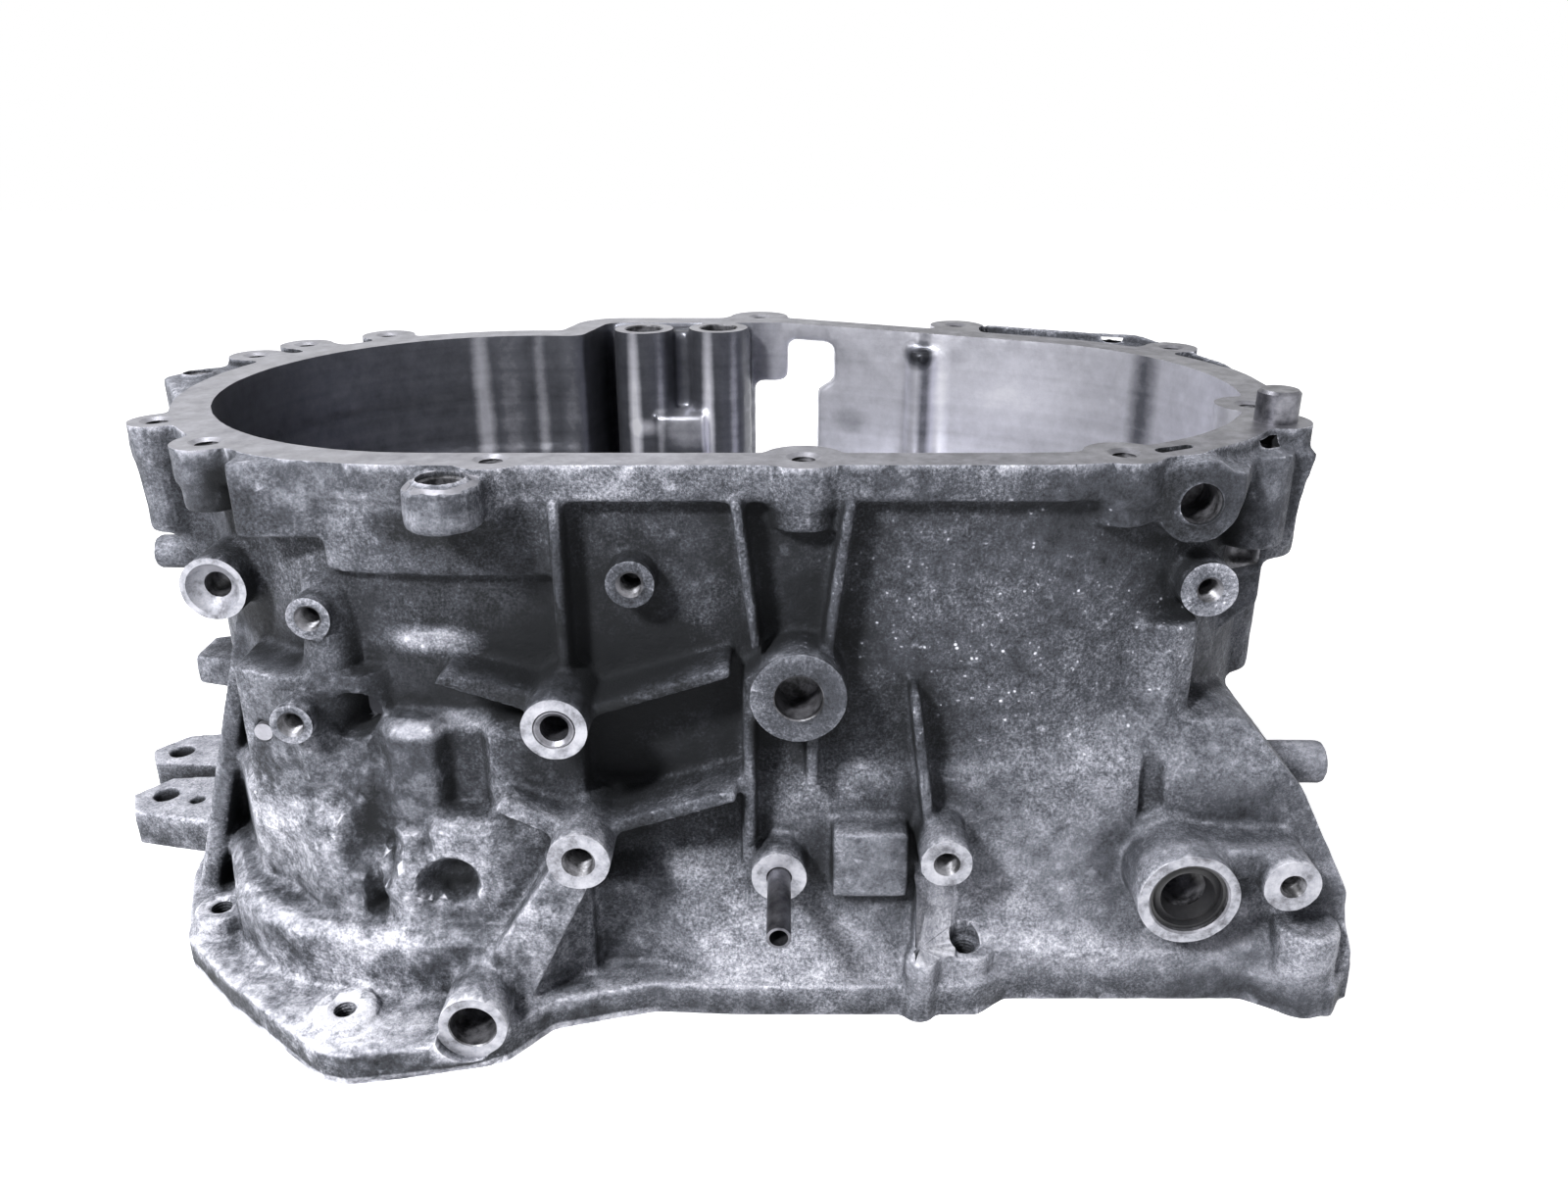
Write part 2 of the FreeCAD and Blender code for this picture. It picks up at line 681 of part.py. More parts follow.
def wall_holes():
    cuts = []
    for x, z, radius, front, depth in wall_taps:
        size = large_tap_radius if radius > 9.5 else small_tap_radius
        cuts.append(cross_cylinder(x, z, size, front, front + depth))
    blind = [
        (lug_x, case_height - lug_hole_drop, lug_hole_radius, lug_front, lug_hole_depth),
        (ring_x, ring_z, ring_hole_radius, ring_front, ring_hole_depth),
        (foot_ring_x, foot_ring_z, foot_ring_hole_radius, foot_ring_front, foot_ring_hole_depth),
        (port_x, port_z, port_hole_radius, port_front, port_hole_depth),
        (seal_x, seal_z, seal_radius, seal_front, seal_recess + seal_width),
        (seal_x, seal_z, shaft_hole_radius, seal_front, shaft_hole_depth),
        (tube_x, tube_z, tube_radius, tube_boss_front, tube_seat),
        (tube_x, tube_z, tube_bore_radius, tube_boss_front, tube_hole_depth),
        (plug_x, plug_z, plug_radius, plug_front - plug_proud, plug_proud + plug_length),
    ]
    insert_x, insert_z, _, insert_front, _ = wall_taps[insert_tap]
    blind.append((insert_x, insert_z, insert_radius, insert_front, insert_length))
    for x, z, radius, front, depth in blind:
        cuts.append(cross_cylinder(x, z, radius, front, front + depth))
    mouth = V(port_x, port_front, port_z)
    seat = Part.makeCone(port_seat_radius, port_hole_radius, port_seat_depth, mouth, V(0, 1, 0))
    return cuts + [seat]


def flange_holes():
    return [vertical_cylinder(x, y, radius, -1.0, flange_hole_top) for x, y, radius in base_holes]


def recesses():
    cuts = [window()]
    slot = [(113.5, -99.0), (127.0, -92.0), (127.0, -88.0), (113.5, -93.5)]
    cuts.append(prism(slot, case_height - 20.0, case_height + 1.0))
    cuts.append(cross_prism([(118.0, 90.0), (124.0, 94.0), (126.0, 72.0), (118.0, 66.0)], -125.0, -104.0))
    cuts.append(cross_cylinder(-138.0, 107.0, 8.0, -130.0, -96.0))
    for x, z, mouth, end, back in wall_pockets:
        cuts.append(Part.makeCone(mouth, end, back - pocket_front, V(x, pocket_front, z), V(0, 1, 0)))
    for z_bottom, z_top, depth in wall_bands:
        cuts.append(vertical_cylinder(primary_x, primary_y, primary_radius + depth, z_bottom, z_top))
    return cuts


def case():
    outside = [chamber_wall(), upper_band(), cover_flange(), far_rim(), far_left_ear(), face_block(), lug()]
    outside += cover_screw_bosses()
    outside += ears()
    outside += side_gussets()
    outside += [right_skirt(), wing_root(), left_edge_web(), base_flange(), stub()]
    outside += terraces()
    outside += boss_posts()
    outside.append(plug_block())
    outside += side_lugs()
    outside += [vertical_cylinder(x, y, radius, 0.0, top) for x, y, radius, top in foot_bosses]
    outside += round_bosses()
    outside += wall_ribs()
    shell = fused(outside)
    shell = shell.cut(opening(0.0, chamber_floor, case_height + 1.0))
    shell = shell.cut(lower_hollows())
    shell = shell.multiFuse(bolt_tubes() + bearing_rims() + inside_pads())
    shell = shell.cut(Part.makeCompound(cover_holes() + wall_holes() + flange_holes() + recesses()))
    return shell.removeSplitter()


def flange_dowel():
    bottom = case_height - dowel_depth
    pin = vertical_cylinder(dowel_x, dowel_y, dowel_radius, bottom, case_height + dowel_stand_out)
    rims = [e for e in pin.Edges if lies_at_height(e, case_height + dowel_stand_out)]
    return pin.makeChamfer(dowel_chamfer, rims)


def shaft_seal():
    front = seal_front + seal_recess
    back = front + seal_width
    profile = [
        (seal_radius, front), (seal_radius, back), (seal_lip_radius + 1.2, back - 1.0),
        (seal_lip_radius, back - 1.8),
        (seal_lip_radius + 1.6, front + 0.4), (seal_radius - 1.6, front + 1.6), (seal_radius - 1.2, front),
    ]
    corners = [V(seal_x + r, y, seal_z) for r, y in profile]
    face = Part.Face(Part.makePolygon(corners + corners[:1]))
    return face.revolve(V(seal_x, 0, seal_z), V(0, 1, 0), 360)


def breather_tube():
    back = tube_boss_front + tube_seat
    outside = cross_cylinder(tube_x, tube_z, tube_radius, tube_front, back)
    return outside.cut(cross_cylinder(tube_x, tube_z, tube_bore_radius, tube_front - 1.0, back + 1.0))


def thread_insert():
    x, z, _, front, _ = wall_taps[insert_tap]
    outside = cross_cylinder(x, z, insert_radius, front, front + insert_length)
    return outside.cut(cross_cylinder(x, z, large_tap_radius, front - 1.0, front + insert_length + 1.0))


def core_plug():
    return cross_cylinder(plug_x, plug_z, plug_radius, plug_front - plug_proud, plug_front + plug_length)


def main():
    os.makedirs("parts", exist_ok=True)
    pieces = {
        "gearbox_case": case(),
        "flange_dowel": flange_dowel(),
        "shaft_seal": shaft_seal(),
        "breather_tube": breather_tube(),
        "thread_insert": thread_insert(),
        "core_plug": core_plug(),
    }
    room = Part.makeCompound(list(pieces.values())).optimalBoundingBox(False, False)
    to_origin = V(-room.Center.x, -room.Center.y, 0)
    for name, shape in pieces.items():
        placed = shape.copy()
        placed.translate(to_origin)
        placed.exportStep("parts/" + name + ".step")
        print(name, len(placed.Solids), round(placed.Volume), placed.isValid())
    print("moved by", to_origin, "size", room.XLength, room.YLength, room.ZLength)


main()
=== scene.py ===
import math

import bpy
from mathutils import Matrix, Vector


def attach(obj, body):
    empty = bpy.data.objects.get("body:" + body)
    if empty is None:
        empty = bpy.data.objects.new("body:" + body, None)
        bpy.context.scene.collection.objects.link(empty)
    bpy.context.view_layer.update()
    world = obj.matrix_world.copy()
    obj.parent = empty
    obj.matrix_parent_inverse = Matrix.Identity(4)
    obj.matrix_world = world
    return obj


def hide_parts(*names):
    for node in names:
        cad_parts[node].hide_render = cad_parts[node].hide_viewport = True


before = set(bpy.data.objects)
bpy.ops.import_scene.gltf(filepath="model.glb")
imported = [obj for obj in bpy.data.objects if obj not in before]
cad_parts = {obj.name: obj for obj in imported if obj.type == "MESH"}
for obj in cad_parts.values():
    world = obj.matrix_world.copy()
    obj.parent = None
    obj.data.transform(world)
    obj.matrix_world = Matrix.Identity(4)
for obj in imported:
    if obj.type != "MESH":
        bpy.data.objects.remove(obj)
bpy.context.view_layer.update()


# The place: the case stands on a plain white ground, seen from half a metre away and 22 degrees
# above. A soft lamp hangs high at the left front, one weaker lamp fills from the right, and
# another shines down into the chamber.
bpy.ops.object.camera_add(location=(0.0375, -0.46225, 0.2906), rotation=(math.radians(68.0), 0.0, 0.0))
camera = bpy.context.object
camera.data.lens = 28.125
camera.data.sensor_width = 36.0
bpy.context.scene.camera = camera
bpy.context.scene.view_settings.view_transform = "Standard"


def soft_lamp(name, place, aim, size, power):
    bpy.ops.object.light_add(type="AREA", location=place)
    lamp = bpy.context.object
    lamp.name = name
    lamp.data.shape = "DISK"
    lamp.data.size = size
    lamp.data.energy = power
    lamp.rotation_euler = (Vector(aim) - Vector(place)).to_track_quat("-Z", "Y").to_euler()


soft_lamp("daylight", (-0.66, -1.02, 1.08), (0.0, -0.05, 0.1), 0.22, 40.0)
soft_lamp("right_fill", (1.1, -1.2, 0.9), (0.0, 0.0, 0.1), 0.9, 3.0)
soft_lamp("chamber_light", (-0.35, 0.1, 1.3), (0.15, 0.05, 0.15), 0.35, 5.0)


def node(tree, kind, inputs=None, **settings):
    made = tree.nodes.new(kind)
    for name, value in settings.items():
        setattr(made, name, value)
    for socket, value in (inputs or {}).items():
        if isinstance(value, bpy.types.NodeSocket):
            tree.links.new(value, made.inputs[socket])
        else:
            made.inputs[socket].default_value = value
    return made


def math_node(tree, operation, first, second=0.0, third=0.0, clamp=False):
    made = node(tree, "ShaderNodeMath", {0: first, 1: second, 2: third}, operation=operation, use_clamp=clamp)
    return made.outputs[0]


def seen_or_mirrored(tree):
    path = node(tree, "ShaderNodeLightPath")
    mirrored = math_node(tree, "MAXIMUM", path.outputs["Is Glossy Ray"], path.outputs["Is Transmission Ray"])
    return math_node(tree, "MAXIMUM", path.outputs["Is Camera Ray"], mirrored)


pure_white = (1.0, 1.0, 1.0, 1.0)
world = bpy.data.worlds.new("white_room")
bpy.context.scene.world = world
world.use_nodes = True
tree = world.node_tree
tree.nodes.clear()
dim = node(tree, "ShaderNodeBackground", {"Color": (0.86, 0.89, 1.0, 1.0), "Strength": 0.15})
white = node(tree, "ShaderNodeBackground", {"Color": pure_white, "Strength": 1.0})
both = node(tree, "ShaderNodeMixShader", {0: seen_or_mirrored(tree), 1: dim.outputs[0], 2: white.outputs[0]})
node(tree, "ShaderNodeOutputWorld", {"Surface": both.outputs[0]})

bpy.ops.mesh.primitive_plane_add(size=6.0, location=(0.0, 0.0, 0.0))
ground = bpy.context.object
ground.name = "ground"
ground_paint = bpy.data.materials.new("ground_white")
ground_paint.use_nodes = True
tree = ground_paint.node_tree
tree.nodes.clear()
matt = node(tree, "ShaderNodeBsdfDiffuse", {"Color": (0.80, 0.80, 0.80, 1.0)})
glow = node(tree, "ShaderNodeEmission", {"Color": pure_white, "Strength": 0.90})
lit = node(tree, "ShaderNodeAddShader", {0: matt.outputs[0], 1: glow.outputs[0]})
seen = node(tree, "ShaderNodeMixShader", {0: seen_or_mirrored(tree), 1: matt.outputs[0], 2: lit.outputs[0]})
node(tree, "ShaderNodeOutputMaterial", {"Surface": seen.outputs[0]})
ground.data.materials.append(ground_paint)


# The casting: one pressure die casting of aluminium, with rounded corners everywhere that the
# die leaves them. It is shaped soft and whole here, and machined in the next section.
def pick(*items):
    bpy.ops.object.select_all(action="DESELECT")
    for item in items:
        item.select_set(True)
    bpy.context.view_layer.objects.active = items[0]


def work(item, kind, **values):
    pick(item)
    modifier = item.modifiers.new(kind.lower(), kind)
    for name, value in values.items():
        setattr(modifier, name, value)
    bpy.ops.object.modifier_apply(modifier=modifier.name)


def settled(item):
    pick(item)
    bpy.ops.object.transform_apply(location=True, rotation=True, scale=True)
    return item


def merged_copy(name, node_name):
    made = bpy.data.objects.new(name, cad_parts[node_name].data.copy())
    bpy.context.collection.objects.link(made)
    made.data.materials.clear()
    pick(made)
    bpy.ops.object.mode_set(mode="EDIT")
    bpy.ops.mesh.select_all(action="SELECT")
    bpy.ops.mesh.remove_doubles(threshold=1e-6)
    bpy.ops.object.mode_set(mode="OBJECT")
    return made


casting = merged_copy("cast_case", "gearbox_case")

tap_bore = 0.0034
tap_pitch = 0.00125
coarse_pitch = 0.0015
seal_bore = 0.0125
port_bore = 0.0082
insert_place = (-0.0316, -0.13725, 0.1141)
# Faced bosses of the front wall: place of the face, boss radius, bore, depth, thread pitch
faced = [
    ((-0.0092, -0.11825, 0.1535), 0.0077, tap_bore, 0.014, tap_pitch),
    (insert_place, 0.0102, 0.0061, 0.018, 0),
    ((-0.0264, -0.14125, 0.0698), 0.0100, 0.0044, 0.018, coarse_pitch),
    ((-0.1099, -0.11425, 0.1406), 0.0070, tap_bore, 0.015, tap_pitch),
    ((-0.1161, -0.12425, 0.1089), 0.0068, tap_bore, 0.018, tap_pitch),
    ((0.1722, -0.10325, 0.1457), 0.0093, tap_bore, 0.018, tap_pitch),
    ((0.0893, -0.13425, 0.0642), 0.0084, tap_bore, 0.018, tap_pitch),
    ((0.2011, -0.13325, 0.0550), 0.0094, tap_bore, 0.018, tap_pitch),
    ((0.0420, -0.12725, 0.1195), 0.0150, 0.0075, 0.016, 0),
    ((-0.0615, -0.15325, 0.0160), 0.0110, 0.0074, 0.030, 0),
    ((0.0359, -0.12625, 0.0536), 0.0092, 0.0038, 0.010, 0),
    ((0.1681, -0.13425, 0.0505), 0.0165, seal_bore, 0.009, 0),
    ((-0.1451, -0.09925, 0.1444), 0.0107, port_bore, 0.008, 0),
]
# The side lug's hole, which runs backwards as the bosses' holes do
lug_hole = Vector((0.1637, -0.10825, 0.1762))
lug_bore = 0.0062
lug_depth = 0.017
# Holes down into the cover flange: place
cover_height = 0.190
cover_holes = [
    (-0.1725, -0.06075), (-0.1441, -0.08795), (-0.0503, -0.10775), (0.0434, -0.10575), (0.1411, -0.10125),
    (0.2014, -0.03785), (0.2046, 0.06735), (0.1188, 0.12275), (0.0255, 0.14725), (-0.1420, 0.09675),
    (-0.1709, 0.07405), (-0.1832, 0.05005),
]
# Other holes that open upwards: place, height of the mouth, radius, depth
ear_hole = (-0.0607, -0.12625, 0.188, 0.0065, 0.014)
plain_holes = [
    (-0.0278, 0.11295, cover_height, 0.0085, 0.100), (0.0068, 0.11555, cover_height, 0.0085, 0.100),
    ear_hole, (0.1926, -0.07425, 0.184, 0.0055, 0.032),
    (0.1886, 0.10375, 0.184, 0.0050, 0.030), (-0.1985, 0.02775, 0.186, 0.0050, 0.016),
]

# The die leaves metal on every face that is milled later, and no holes: both are put on here
spare = 0.0025


def push_out(chosen, way):
    bpy.ops.object.mode_set(mode="EDIT")
    bpy.ops.mesh.select_all(action="DESELECT")
    bpy.ops.object.mode_set(mode="OBJECT")
    for vertex in casting.data.vertices:
        vertex.select = chosen(vertex.co)
    bpy.ops.object.mode_set(mode="EDIT")
    bpy.ops.transform.translate(value=[spare * step for step in way])
    bpy.ops.object.mode_set(mode="OBJECT")


def on_cover(point):
    return point.z > cover_height - 0.0001


def on_base(point):
    return point.z < 0.0001


def on_boss(point):
    for (x, y, z), boss, *rest in faced:
        if abs(point.y - y) < 1e-4 and math.hypot(point.x - x, point.z - z) < boss + 0.0006:
            return True
    return False


def plug(radius, depth, centre, turn=(0.0, 0.0, 0.0)):
    bpy.ops.mesh.primitive_cylinder_add(
        vertices=24, radius=radius + 0.0007, depth=depth + spare, location=centre, rotation=turn)
    return settled(bpy.context.object)


def egg(place, half_sizes, turn, segments, rings):
    bpy.ops.mesh.primitive_uv_sphere_add(segments=segments, ring_count=rings, radius=1.0, location=place)
    item = bpy.context.object
    item.scale = half_sizes
    item.rotation_euler = (0.0, math.radians(turn), 0.0)
    return settled(item)


def block(centre, size):
    bpy.ops.mesh.primitive_cube_add(size=1.0, location=centre, scale=size)
    return settled(bpy.context.object)


push_out(on_cover, (0.0, 0.0, 1.0))
push_out(on_base, (0.0, 0.0, -1.0))
push_out(on_boss, (0.0, -1.0, 0.0))

# A front plug ends inside its hole, and a top plug only roofs the hole over
filled_part = 0.85
roof = 0.008
facing_front = (math.radians(90.0), 0.0, 0.0)
lumps = []
for (x, y, z), boss, bore, depth, pitch in faced + [(lug_hole, 0.014, lug_bore, lug_depth, 0)]:
    filled = filled_part * depth
    lumps.append(plug(bore, filled, (x, y + 0.5 * (filled - spare), z), facing_front))
covered = [(x, y, top, radius, roof) for x, y, top, radius, depth in plain_holes]
covered += [(x, y, cover_height, tap_bore, roof) for x, y in cover_holes]
# The dowel's seat, and the tapped hole of the right foot
covered += [(0.2020, -0.06075, cover_height, 0.0070, roof), (0.0991, -0.11755, 0.0205, tap_bore, 0.0195)]
for x, y, top, radius, depth in covered:
    lumps.append(plug(radius, depth, (x, y, top - 0.5 * (depth - spare))))

# Swellings of the lower left wall, where the metal is thick round oil ways: place, half sizes, turn
swellings = [
    ((-0.0850, -0.1215, 0.051), (0.0105, 0.0080, 0.0135), 0),
    ((-0.1080, -0.1030, 0.120), (0.0095, 0.0120, 0.0300), 8),
    ((-0.0640, -0.1190, 0.068), (0.0060, 0.0090, 0.0040), 0),
    ((-0.0970, -0.1090, 0.0740), (0.0130, 0.0090, 0.0230), 0),
    ((-0.0720, -0.1120, 0.0515), (0.0125, 0.0080, 0.0100), 0),
    ((-0.0965, -0.1130, 0.0520), (0.0070, 0.0065, 0.0130), 0),
]
lumps += [egg(place, half_sizes, turn, 24, 14) for place, half_sizes, turn in swellings]
pick(casting, *lumps)
bpy.ops.object.join()

grain_size = 0.00115
work(casting, "REMESH", mode="VOXEL", voxel_size=grain_size)

# Soft hollows between the swellings, and the free space under a boss: place, half sizes, turn
hollows = [
    ((-0.0985, -0.1310, 0.0680), (0.0140, 0.0155, 0.0230), 8),
    ((-0.0715, -0.1345, 0.0520), (0.0120, 0.0150, 0.0110), 0),
    ((-0.1290, -0.1290, 0.0720), (0.0080, 0.0155, 0.0240), -20),
]
pits = [egg(place, half_sizes, turn, 32, 20) for place, half_sizes, turn in hollows]
pits.append(block((0.0903, -0.1251, 0.0392), (0.0176, 0.0224, 0.0316)))
for pit in pits:
    work(casting, "BOOLEAN", object=pit, operation="DIFFERENCE", solver="MANIFOLD")
    bpy.data.objects.remove(pit)
work(casting, "SMOOTH", iterations=10, factor=0.5)

die_skin = bpy.data.textures.new("die_skin", "CLOUDS")
die_skin.noise_scale = 0.006
die_skin.noise_depth = 3
work(casting, "DISPLACE", texture=die_skin, texture_coords="LOCAL", strength=0.0004, mid_level=0.5)
most_triangles = 170000.0
triangles = len(casting.data.polygons) * 2
work(casting, "DECIMATE", ratio=min(1.0, most_triangles / triangles))
# The rough skin stands proud of the true sizes, so the casting is drawn in by as much
casting.scale = (0.9994, 0.9998, 1.0)
settled(casting)


# Machining: the flange, the base and the boss faces are milled flat and the holes drilled and
# tapped, all after casting, so these edges are sharp and the faces bright.
def turned(name, profile, sides=28):
    radius, height = profile[0]
    bpy.ops.mesh.primitive_circle_add(
        vertices=sides, radius=radius, fill_type="NGON", location=(0, 0, height))
    item = settled(bpy.context.object)
    item.name = name
    bpy.ops.object.mode_set(mode="EDIT")
    bpy.ops.mesh.select_all(action="SELECT")
    for next_radius, next_height in profile[1:]:
        bpy.ops.mesh.extrude_region_move(TRANSFORM_OT_translate={"value": (0, 0, next_height - height)})
        grow = next_radius / radius
        bpy.ops.transform.resize(value=(grow, grow, 1.0), center_override=(0, 0, next_height))
        radius, height = next_radius, next_height
    bpy.ops.mesh.select_all(action="SELECT")
    bpy.ops.mesh.normals_make_consistent(inside=False)
    bpy.ops.object.mode_set(mode="OBJECT")
    return item


def tap_profile(bore, depth, pitch, mouth):
    drill_point = (0.0002, -depth - 0.5 * bore)
    thread_depth = 0.0007
    mouth_depth = 0.0010
    turns = 7
    profile = [drill_point, (bore, -depth)]
    for turn in range(turns):
        low = -mouth_depth - (turns - turn) * pitch
        profile += [(bore, low), (bore + thread_depth, low + 0.5 * pitch)]
    return profile + [(bore, -mouth_depth), (mouth, 0.0)]


def moved(item, matrix):
    item.data.transform(matrix)
    return item


def copied(item, matrix):
    made = item.copy()
    made.data = item.data.copy()
    bpy.context.collection.objects.link(made)
    return moved(made, matrix)


def cut_away(cutters):
    pick(*cutters)
    bpy.ops.object.join()
    work(casting, "BOOLEAN", object=cutters[0], operation="DIFFERENCE", solver="MANIFOLD")
    bpy.data.objects.remove(cutters[0])


milled_off = 0.0001
cover_top = cover_height - milled_off
mill_size = (0.7, 0.5, 0.04)
cut_away([block((0.0, 0.0, cover_top + 0.02), mill_size), block((0.0, 0.0, milled_off - 0.02), mill_size)])

towards_front = Matrix.Rotation(facing_front[0], 4, "X")
seal_seat = [(0.0085, -0.040), (0.0085, -0.0092), (seal_bore, -0.0090), (seal_bore, -0.0006), (0.0132, 0.0)]
port_seat = [(0.0044, -0.030), (0.0044, -0.0042), (0.0070, -0.0022), (port_bore, -0.0006), (0.0086, 0.0)]
cutters = []
for place, boss, bore, depth, pitch in faced:
    if bore == seal_bore:
        profile = seal_seat
    elif bore == port_bore:
        profile = port_seat
    elif pitch:
        profile = tap_profile(bore, depth, pitch, bore + 0.0009)
    else:
        profile = [(bore, -depth), (bore, -0.0004), (bore + 0.0004, 0.0)]
    cutter = turned("facing", profile + [(boss + 0.0012, 0.0), (boss + 0.0012, 0.0045)], 36)
    cutters.append(moved(cutter, Matrix.Translation(Vector(place)) @ towards_front))
cut_away(cutters)

lug_mouth = lug_bore + 0.0004
lug_profile = [(lug_bore, -lug_depth), (lug_bore, -0.0006), (lug_mouth, 0.0), (lug_mouth, 0.004)]
cutters = [moved(turned("lug_cut", lug_profile, 32), Matrix.Translation(lug_hole) @ towards_front)]
tap_mouth = 0.0054
tap = turned("tap", tap_profile(0.0036, 0.018, tap_pitch, tap_mouth) + [(tap_mouth, 0.006)])
cutters += [copied(tap, Matrix.Translation((x, y, cover_top))) for x, y in cover_holes]
foot_taps = [(-0.1653, -0.09515, 0.020), (-0.1058, -0.14275, 0.015), (0.0991, -0.11905, 0.0215)]
cutters += [copied(tap, Matrix.Translation(place)) for place in foot_taps]
bpy.data.objects.remove(tap)
for x, y, top, radius, depth in plain_holes:
    mouth = radius + 0.0006
    hole = turned("hole", [(radius, -depth), (radius, -0.0006), (mouth, 0.0), (mouth, 0.004)])
    cutters.append(moved(hole, Matrix.Translation((x, y, min(top, cover_top)))))
cut_away(cutters)


# The skin of the casting: bare die-cast metal, grey, sand-rough, stained and salted; paler on worn ridges,
# which also carry a painted highlight, with painted light on the faces that look up and painted shade in
# the creases, and nearly black in the pockets, where dirt and painted shade sit.
def new_group(name, inputs, outputs):
    group = bpy.data.node_groups.new(name, "ShaderNodeTree")
    for socket, value in inputs:
        made = group.interface.new_socket(socket, in_out="INPUT", socket_type="NodeSocketFloat")
        made.default_value = value
    for socket in outputs:
        group.interface.new_socket(socket, in_out="OUTPUT", socket_type="NodeSocketFloat")
    return group


def mapped(tree, value, low, high, first, last, kind="LINEAR"):
    inputs = {0: value, 1: low, 2: high, 3: first, 4: last}
    return node(tree, "ShaderNodeMapRange", inputs, interpolation_type=kind).outputs[0]


# Marks that all the metals share, from the wide stains down to the grains: scale, detail, roughness
noises = {
    "Stain": (22.0, 5.0, 0.60),
    "Mottle": (130.0, 8.0, 0.72),
    "Grain": (620.0, 5.0, 0.70),
    "Speck": (950.0, 4.0, 0.85),
}
marks = new_group("cast_marks", [("Size", 1.0)], ["Mottle", "Stain", "Grain", "Salt", "Speck"])
inside = node(marks, "NodeGroupInput")
place = node(marks, "ShaderNodeTexCoord").outputs["Object"]
scaling = {0: place, "Scale": inside.outputs["Size"]}
sized = node(marks, "ShaderNodeVectorMath", scaling, operation="SCALE").outputs[0]
given = {}
for name, (scale, detail, roughness) in noises.items():
    inputs = {"Vector": sized, "Scale": scale, "Detail": detail, "Roughness": roughness}
    given[name] = node(marks, "ShaderNodeTexNoise", inputs).outputs["Fac"]
cells = node(marks, "ShaderNodeTexVoronoi", {"Vector": sized, "Scale": 430.0, "Randomness": 1.0})
near = mapped(marks, cells.outputs["Distance"], 0.10, 0.30, 1.0, 0.0)
given["Salt"] = math_node(marks, "MULTIPLY", near, mapped(marks, given["Mottle"], 0.52, 0.60, 0.0, 1.0))
node(marks, "NodeGroupOutput", given)


def patch(tree, place, centre, reach, core=0.55):
    offset = node(tree, "ShaderNodeVectorMath", {0: place, 1: centre}, operation="SUBTRACT").outputs[0]
    shrunk = node(tree, "ShaderNodeVectorMath", {0: offset, 1: reach}, operation="DIVIDE").outputs[0]
    away = node(tree, "ShaderNodeVectorMath", {0: shrunk}, operation="LENGTH").outputs["Value"]
    return mapped(tree, away, core, 1.1, 1.0, 0.0)


def weighed(tree, total, part, middle, amount):
    offset = math_node(tree, "SUBTRACT", part, middle)
    return math_node(tree, "MULTIPLY_ADD", offset, amount, total)


def patched(tree, total, place, patches):
    for centre, reach, core, amount in patches:
        total = weighed(tree, total, patch(tree, place, centre, reach, core), 0.0, amount)
    return total


def metal(name, metallic):
    made = bpy.data.materials.new(name)
    made.use_nodes = True
    tree = made.node_tree
    shader = tree.nodes["Principled BSDF"]
    shader.inputs["Metallic"].default_value = metallic
    return made, tree, shader, node(tree, "ShaderNodeGroup", node_tree=marks).outputs


def coloured(tree, shader, value, stops):
    ramp = node(tree, "ShaderNodeValToRGB", {0: value})
    points = ramp.color_ramp.elements
    while len(points) < len(stops):
        points.new(0.5)
    for point, (at, colour) in zip(points, stops):
        point.position = at
        point.color = (*colour, 1.0)
    tree.links.new(ramp.outputs["Color"], shader.inputs["Base Color"])


def roughened(tree, shader, height, strength, distance):
    bump = node(tree, "ShaderNodeBump", {"Height": height, "Strength": strength, "Distance": distance})
    tree.links.new(bump.outputs["Normal"], shader.inputs["Normal"])


# These boss faces were left as cast
dull_faces = [faced[0], faced[3], faced[4], faced[5], faced[8], (lug_hole, 0.0125)]
